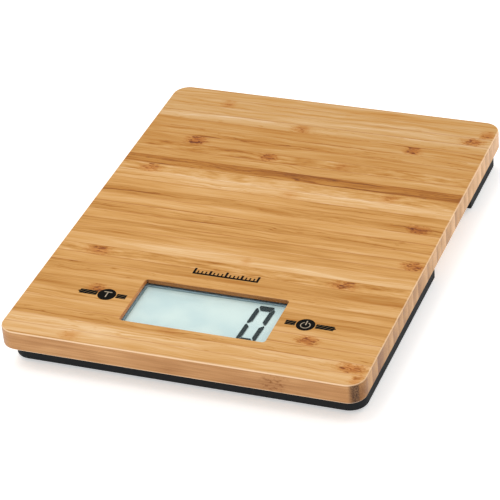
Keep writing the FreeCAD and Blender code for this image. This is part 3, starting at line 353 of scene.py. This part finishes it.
def moulded(name, colour, roughness, grain=2200, depth=0.02, specular=0.5):
    """Moulded plastic or rubber with a fine spark-eroded grain."""
    s = Surface(name)
    fine = s.noise(s.coords, scale=grain, detail=2, roughness=0.6)
    wide = s.noise(s.coords, scale=45.0, detail=3)
    dark = tuple(channel * 0.78 for channel in colour[:3]) + (1.0,)
    light = tuple(min(1.0, channel * 1.22) for channel in colour[:3]) + (1.0,)
    tint = s.mix(s.math("MULTIPLY_ADD", fine, 0.5, s.math("MULTIPLY", wide, 0.5)), dark, light)
    rough = s.step(wide, 0.3, 0.7, roughness - 0.05, roughness + 0.06)
    return s.finish(Base_Color=tint, Roughness=rough, Specular_IOR_Level=specular,
                    Normal=s.bump(fine, depth * MM, 0.5))


def metal(name, colour, roughness, brushed=(1, 60, 1)):
    """Plain or brushed metal; brushed gives how the scratches are drawn out."""
    s = Surface(name)
    scratches = s.noise(s.stretch(s.coords, *(260 * share for share in brushed)), detail=3, roughness=0.7)
    stain_and_wall_shade = s.noise(s.coords, scale=120.0, detail=2)
    dark = tuple(channel * 0.8 for channel in colour[:3]) + (1.0,)
    tint = s.mix(s.step(stain_and_wall_shade, 0.35, 0.65), dark, colour)
    rough = s.step(scratches, 0.3, 0.7, roughness - 0.08, roughness + 0.1)
    return s.finish(Base_Color=tint, Metallic=1.0, Roughness=rough,
                    Normal=s.bump(scratches, 0.01 * MM, 0.4))


def circuit_board(name):
    """Green solder mask over copper tracks that run along X and Y."""
    s = Surface(name)
    tracks = s.node("ShaderNodeTexBrick", {
        "Vector": s.coords, "Scale": 260.0, "Mortar Size": 0.06, "Mortar Smooth": 0.1,
        "Color1": (0, 0, 0, 1), "Color2": (0, 0, 0, 1), "Mortar": (1, 1, 1, 1)})
    patches = s.noise(s.coords, scale=140.0, detail=1)
    shown = s.math("MULTIPLY", tracks, s.step(patches, 0.48, 0.52))
    colour = s.mix(shown, rgb(14, 76, 42), rgb(30, 112, 62))
    return s.finish(Base_Color=colour, Roughness=0.35, Normal=s.bump(shown, 0.03 * MM))


def clear_pane(name):
    """Thin clear plastic: light goes straight through, and its faces gloss by their angle."""
    s = Surface(name)
    tree = s.tree
    clear = tree.nodes.new("ShaderNodeBsdfTransparent")
    clear.inputs[0].default_value = (0.97, 0.985, 0.98, 1.0)
    gloss = tree.nodes.new("ShaderNodeBsdfGlossy")
    smear = s.noise(s.coords, scale=70.0, detail=2)
    tree.links.new(s.step(smear, 0.3, 0.7, 0.03, 0.07), gloss.inputs["Roughness"])
    facing = tree.nodes.new("ShaderNodeLayerWeight").outputs["Facing"]
    sheen = s.math("MULTIPLY_ADD", s.math("POWER", facing, 5.0), 0.5, 0.02)
    both = tree.nodes.new("ShaderNodeMixShader")
    tree.links.new(sheen, both.inputs[0])
    tree.links.new(clear.outputs[0], both.inputs[1])
    tree.links.new(gloss.outputs[0], both.inputs[2])
    tree.links.new(both.outputs[0], tree.nodes["Material Output"].inputs["Surface"])
    tree.nodes.remove(s.shader)
    return s.material


def display_film(name):
    """The pale, faintly mottled face of a reflective display."""
    s = Surface(name)
    cloud = s.noise(s.coords, scale=55.0, detail=2)
    speck = s.noise(s.coords, scale=5200.0, detail=1)
    colour = s.mix(s.step(cloud, 0.3, 0.7), rgb(213, 231, 232), rgb(230, 243, 240))
    colour = s.mix(s.step(speck, 0.4, 0.7, 0.0, 0.12), colour, rgb(190, 213, 216))
    return s.finish(Base_Color=colour, Roughness=0.42, Specular_IOR_Level=0.3)


def ink(name, colour, wear=0.6, depth=0.02):
    """Screen-printed ink that lets a little of the fibre relief through."""
    s = Surface(name)
    fibre = s.noise(s.stretch(s.coords, 40, 1500, 1500), detail=3)
    worn = s.noise(s.coords, scale=900.0, detail=3)
    lighter = tuple(min(1.0, channel * 1.8 + 0.004) for channel in colour[:3]) + (1.0,)
    tint = s.mix(s.step(worn, 0.45, 0.75, 0.0, wear), colour, lighter)
    rough = s.step(worn, 0.3, 0.7, 0.42, 0.52)
    return s.finish(Base_Color=tint, Roughness=rough, Specular_IOR_Level=0.03,
                    Normal=s.bump(fibre, depth * MM, 0.5))


def make_materials():
    """Every material by name; a CAD node's slot in the record is one of these names."""
    return {
        "bamboo": bamboo(),
        "clear_pane": clear_pane("clear_pane"),
        "frame_plastic": moulded("frame_plastic", rgb(172, 192, 204), 0.4),
        "polarizer_film": display_film("polarizer_film"),
        "cell_glass": moulded("cell_glass", rgb(170, 192, 188), 0.15, depth=0.002),
        "reflector_film": moulded("reflector_film", rgb(180, 190, 186), 0.3, depth=0.005),
        "black_rubber": moulded("black_rubber", rgb(30, 30, 31), 0.7),
        "circuit_board": circuit_board("circuit_board"),
        "black_resin": moulded("black_resin", rgb(20, 20, 22), 0.25, depth=0.01),
        "plated_steel": metal("plated_steel", rgb(196, 196, 192), 0.3),
        "carrier_plastic": moulded("carrier_plastic", rgb(52, 53, 55), 0.5),
        "load_cell_aluminium": metal("load_cell_aluminium", rgb(206, 208, 210), 0.35, (60, 1, 60)),
        "gauge_film": moulded("gauge_film", rgb(196, 140, 52), 0.3),
        "base_plastic": moulded("base_plastic", rgb(35, 37, 39), 0.65, specular=0.08),
        "foot_rubber": moulded("foot_rubber", rgb(34, 34, 35), 0.75, grain=1400, depth=0.04),
        "battery_can": metal("battery_can", rgb(214, 213, 208), 0.28, (1, 1, 1)),
        "foam_pad": moulded("foam_pad", rgb(52, 52, 54), 0.9, grain=900, depth=0.15),
        "button_plastic": moulded("button_plastic", rgb(78, 80, 83), 0.4),
        "switch_plastic": moulded("switch_plastic", rgb(24, 24, 25), 0.35),
        "red_wire": moulded("red_wire", rgb(178, 28, 22), 0.4),
        "white_wire": moulded("white_wire", rgb(222, 220, 212), 0.4),
        "black_wire": moulded("black_wire", rgb(22, 22, 23), 0.4),
        "black_print": ink("black_print", rgb(10, 8, 5), 0.4),
        "olive_print": ink("olive_print", rgb(112, 90, 58)),
        "pale_print": ink("pale_print", rgb(172, 156, 134)),
        "lcd_segment": ink("lcd_segment", rgb(42, 54, 56), 0.1, 0.002),
    }


def dress_frame(materials):
    """Gives every CAD node the material of its slot in the record."""
    slots = {part["node"]: part["material_slot"] for part in frame["record"]["subparts"]}
    for name, node in frame["nodes"].items():
        for place in node.material_slots:
            place.material = materials[slots[name]]


# ---------------------------------------------------------------- flat pieces

def flat_piece(name, outlines, base, thickness, material):
    """One mesh of thin closed prisms, one for each outline of (x, y) points, on the platform."""
    vertices, faces = [], []
    for outline in outlines:
        first = len(vertices)
        count = len(outline)
        for level in (base, base + thickness):
            vertices.extend((x, y, level) for x, y in outline)
        faces.append([first + index for index in reversed(range(count))])
        faces.append([first + count + index for index in range(count)])
        for index in range(count):
            after = (index + 1) % count
            faces.append([first + index, first + after, first + count + after, first + count + index])
    mesh = bpy.data.meshes.new(name)
    mesh.from_pydata(vertices, [], faces)
    mesh.validate()
    mesh.materials.append(material)
    piece = bpy.data.objects.new(name, mesh)
    bpy.context.collection.objects.link(piece)
    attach(piece, "platform")
    return piece


def arc(centre_x, centre_y, radius, start, end, count):
    """Points along an arc, its angles in degrees."""
    points = []
    for index in range(count + 1):
        angle = math.radians(start + (end - start) * index / count)
        points.append((centre_x + radius * math.cos(angle), centre_y + radius * math.sin(angle)))
    return points


PLATE_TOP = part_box("bamboo_plate")[1][2]
INK = 0.03 * MM
KEY_RADIUS = 4.3 * MM


def bar(left, right, low, high):
    """The outline of an upright rectangle."""
    return [(left, low), (right, low), (right, high), (left, high)]


def print_keys(materials):
    """A disc, its glyph and two hatched bars over each touch spring."""
    for name, draw_glyph in (("tare", tare_glyph), ("power", power_glyph)):
        low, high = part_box("touch_spring_" + name)
        x, y = (low[0] + high[0]) / 2, (low[1] + high[1]) / 2
        disc = arc(x, y, KEY_RADIUS, 0, 360, 64)[:-1]
        flat_piece(f"key_disc_{name}", [disc], PLATE_TOP, INK, materials["black_print"])
        flat_piece(f"key_glyph_{name}", draw_glyph(x, y), PLATE_TOP + INK, INK,
                   materials["pale_print"])
        outward = math.copysign(1, x)
        print_hatched_bar(f"{name}_outer", x, y, outward, 13.1 * MM, True, materials)
        print_hatched_bar(f"{name}_inner", x, y, -outward, 9.4 * MM, False, materials)


def tare_glyph(x, y):
    """A T."""
    half_bar, half_stem, thick, half_height = 1.95 * MM, 0.23 * MM, 0.45 * MM, 2.1 * MM
    return [bar(x - half_bar, x + half_bar, y + half_height - thick, y + half_height),
            bar(x - half_stem, x + half_stem, y - half_height, y + half_height - thick)]


def power_glyph(x, y):
    """A ring that is open at the top, with a short upright in the gap."""
    outer, inner, half_stem = 2.3 * MM, 1.93 * MM, 0.24 * MM
    gap, segments = 26, 32
    centre_y = y - 0.35 * MM
    outer_points = arc(x, centre_y, outer, 90 + gap, 450 - gap, segments)
    inner_points = arc(x, centre_y, inner, 90 + gap, 450 - gap, segments)
    ring = [[inner_points[index], outer_points[index], outer_points[index + 1], inner_points[index + 1]]
            for index in range(segments)]
    return ring + [bar(x - half_stem, x + half_stem, centre_y + 0.2 * MM, centre_y + 3.3 * MM)]


def clip_to_band(points, low, high):
    """Clips a convex outline to low <= x <= high."""
    for limit, keep_above in ((low, True), (high, False)):
        clipped = []
        for here, after in zip(points, points[1:] + points[:1]):
            inside = (here[0] >= limit) == keep_above
            inside_after = (after[0] >= limit) == keep_above
            if inside:
                clipped.append(here)
            if inside != inside_after:
                share = (limit - here[0]) / (after[0] - here[0])
                clipped.append(tuple(a + (b - a) * share for a, b in zip(here, after)))
        points = clipped
        if not points:
            return points
    return points


def print_hatched_bar(name, x, y, direction, reach, pointed, materials):
    """An olive bar beside a key under slanted black stripes; an outer bar ends in a point."""
    half_height, gap = 1.6 * MM, 0.35 * MM
    pitch, stripe, lean = 2.2 * MM, 1.8 * MM, 2.8 * MM
    near = x + direction * (KEY_RADIUS + gap)
    far = x + direction * reach
    low, high = min(near, far), max(near, far)
    ground = bar(low, high, y - half_height, y + half_height)
    flat_piece(f"key_bar_{name}", [ground], PLATE_TOP, INK, materials["olive_print"])
    stripes = []
    for index in range(int((high - low + lean) / pitch) + 1):
        left = low - lean + index * pitch
        outline = [(left, y - half_height), (left + stripe, y - half_height),
                   (left + stripe + lean, y + half_height), (left + lean, y + half_height)]
        outline = clip_to_band(outline, low, high)
        if outline:
            stripes.append(outline)
    if pointed:
        tip, half_foot = far + direction * 1.0 * MM, 0.7 * MM
        point = [(far, y - half_foot), (tip, y), (far, y + half_foot)]
        stripes.append(point if direction > 0 else point[::-1])
    flat_piece(f"key_stripes_{name}", stripes, PLATE_TOP + INK, INK,
               materials["black_print"])


def print_rule(materials):
    """A plain graduation between display and weighing area: one line and evenly spaced ticks."""
    low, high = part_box("display_lens")
    centre_x = (low[0] + high[0]) / 2
    base_y = high[1] + 6.6 * MM
    half_length, line, divisions = 15.8 * MM, 1.1 * MM, 16
    marks = [bar(centre_x - half_length, centre_x + half_length, base_y, base_y + line)]
    for index in range(divisions + 1):
        long_tick, middle_tick = index % 8 == 0, index % 4 == 0
        height = 3.4 * MM if long_tick else 2.6 * MM if middle_tick else 1.7 * MM
        half = 0.55 * MM if middle_tick else 0.36 * MM
        x = centre_x + (half_length - half) * (2 * index / divisions - 1)
        marks.append(bar(x - half, x + half, base_y + line, base_y + line + height))
    flat_piece("graduation_rule", marks, PLATE_TOP, INK, materials["black_print"])


def show_digit(materials):
    """A seven-segment zero at the right of the display, leaning a little to the right."""
    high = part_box("lcd_polarizer")[1]
    half_width, half_height = 4.5 * MM, 14.0 * MM
    centre_x, centre_y = high[0] - 9.55 * MM, high[1] - 15.8 * MM
    upright, level = 2.1 * MM, 3.4 * MM
    lean = math.tan(math.radians(2.6))
    lift = 0.35 * MM

    # The top bar and the upper right bar, from which the other four are mirrored
    top_bar = [
        (-half_width + 1.0 * MM, half_height - 1.1 * MM), (-half_width + 1.4 * MM, half_height),
        (half_width - 1.4 * MM, half_height), (half_width - 1.0 * MM, half_height - 1.1 * MM),
        (half_width - upright - 0.3 * MM, half_height - level),
        (-half_width + upright + 0.3 * MM, half_height - level),
    ]
    side_bar = [
        (half_width - 0.65 * MM, half_height - 1.75 * MM), (half_width, half_height - 2.6 * MM),
        (half_width, 0.9 * MM), (half_width - 0.5 * MM, 0.35 * MM),
        (half_width - upright, 2.1 * MM), (half_width - upright, half_height - level - 0.7 * MM),
    ]
    outlines = []
    for flip_x, flip_y, outline in ((1, 1, top_bar), (1, -1, top_bar), (1, 1, side_bar), (-1, 1, side_bar),
                                    (1, -1, side_bar), (-1, -1, side_bar)):
        mirrored = [(x * flip_x, y * flip_y) for x, y in outline]
        outlines.append(mirrored if flip_x * flip_y < 0 else mirrored[::-1])
    placed = [[(centre_x + x + lean * y, centre_y + y) for x, y in outline] for outline in outlines]
    flat_piece("lcd_digit", placed, high[2] + lift, INK, materials["lcd_segment"])


# ---------------------------------------------------------------- studio

CAMERA_TARGET = Vector((3.22 * MM, -23.48 * MM, 21.0 * MM))
CAMERA_AZIMUTH = 23.26    # degrees, from -Y towards +X
CAMERA_ELEVATION = 33.56  # degrees
CAMERA_ROLL = -5.19       # degrees
CAMERA_DISTANCE = 1.1413  # metres from the target
CAMERA_SENSOR = 36.0      # mm wide
CAMERA_LENS = 180.1       # mm


def aim(azimuth, elevation, roll=0.0):
    """A rotation that looks from an azimuth (0 is from -Y) and elevation at the target."""
    a, e, r = (math.radians(angle) for angle in (azimuth, elevation, roll))
    back = Vector((math.sin(a) * math.cos(e), -math.cos(a) * math.cos(e), math.sin(e)))
    right = Vector((0, 0, 1)).cross(back).normalized()
    up = back.cross(right)
    turned_right = math.cos(r) * right + math.sin(r) * up
    turned_up = -math.sin(r) * right + math.cos(r) * up
    return back, Matrix((turned_right, turned_up, back)).transposed()


def make_camera():
    """The camera, in front of the scale, to its right and above it."""
    camera = bpy.data.cameras.new("camera")
    camera.lens = CAMERA_LENS
    camera.sensor_width = CAMERA_SENSOR
    camera.clip_start = 0.01
    camera.clip_end = 20.0
    viewer = bpy.data.objects.new("camera", camera)
    bpy.context.collection.objects.link(viewer)
    back, turn = aim(CAMERA_AZIMUTH, CAMERA_ELEVATION, CAMERA_ROLL)
    viewer.matrix_world = Matrix.Translation(CAMERA_TARGET + back * CAMERA_DISTANCE) @ turn.to_4x4()
    bpy.context.scene.camera = viewer


def softbox(name, azimuth, elevation, distance, size, power):
    """A rectangular light that faces the middle of the floor."""
    lamp = bpy.data.lights.new(name, "AREA")
    lamp.shape = "RECTANGLE"
    lamp.size, lamp.size_y = size
    lamp.energy = power
    holder = bpy.data.objects.new(name, lamp)
    bpy.context.collection.objects.link(holder)
    back, turn = aim(azimuth, elevation)
    holder.matrix_world = Matrix.Translation(back * distance) @ turn.to_4x4()


def make_studio():
    """Soft light from the rear left, overhead, the rear right and the front, under a white sky."""
    softbox("key_left_rear", -150, 62, 1.6, (0.8, 0.8), 6.5)
    softbox("overhead_left", -60, 66, 1.4, (0.7, 0.7), 4.5)
    softbox("right_rear", 150, 24, 1.1, (0.5, 0.3), 2.2)
    softbox("front_fill", 20, 18, 1.8, (1.2, 0.5), 1.5)
    world = bpy.data.worlds.new("studio")
    world.use_nodes = True
    sky = world.node_tree.nodes["Background"]
    sky.inputs["Color"].default_value = (1.0, 1.0, 1.0, 1.0)
    sky.inputs["Strength"].default_value = 0.62
    bpy.context.scene.world = world
    bpy.context.scene.view_settings.view_transform = "Standard"


def make_floor():
    """A wide pale floor, lit a little from within like a light table."""
    s = Surface("floor")
    cloud = s.noise(s.coords, scale=3.0, detail=2)
    shade = s.mix(cloud, (0.88, 0.88, 0.88, 1.0), (0.92, 0.92, 0.92, 1.0))
    material = s.finish(Base_Color=shade, Roughness=0.9, Specular_IOR_Level=0.1,
                        Emission_Color=(1.0, 1.0, 1.0, 1.0), Emission_Strength=0.45)
    half = 3.0
    mesh = bpy.data.meshes.new("floor")
    corners = [(-half, -half, 0), (half, -half, 0), (half, half, 0), (-half, half, 0)]
    mesh.from_pydata(corners, [], [(0, 1, 2, 3)])
    mesh.materials.append(material)
    floor = bpy.data.objects.new("floor", mesh)
    bpy.context.collection.objects.link(floor)


materials = make_materials()
dress_frame(materials)
print_keys(materials)
print_rule(materials)
show_digit(materials)
make_floor()
make_studio()
make_camera()
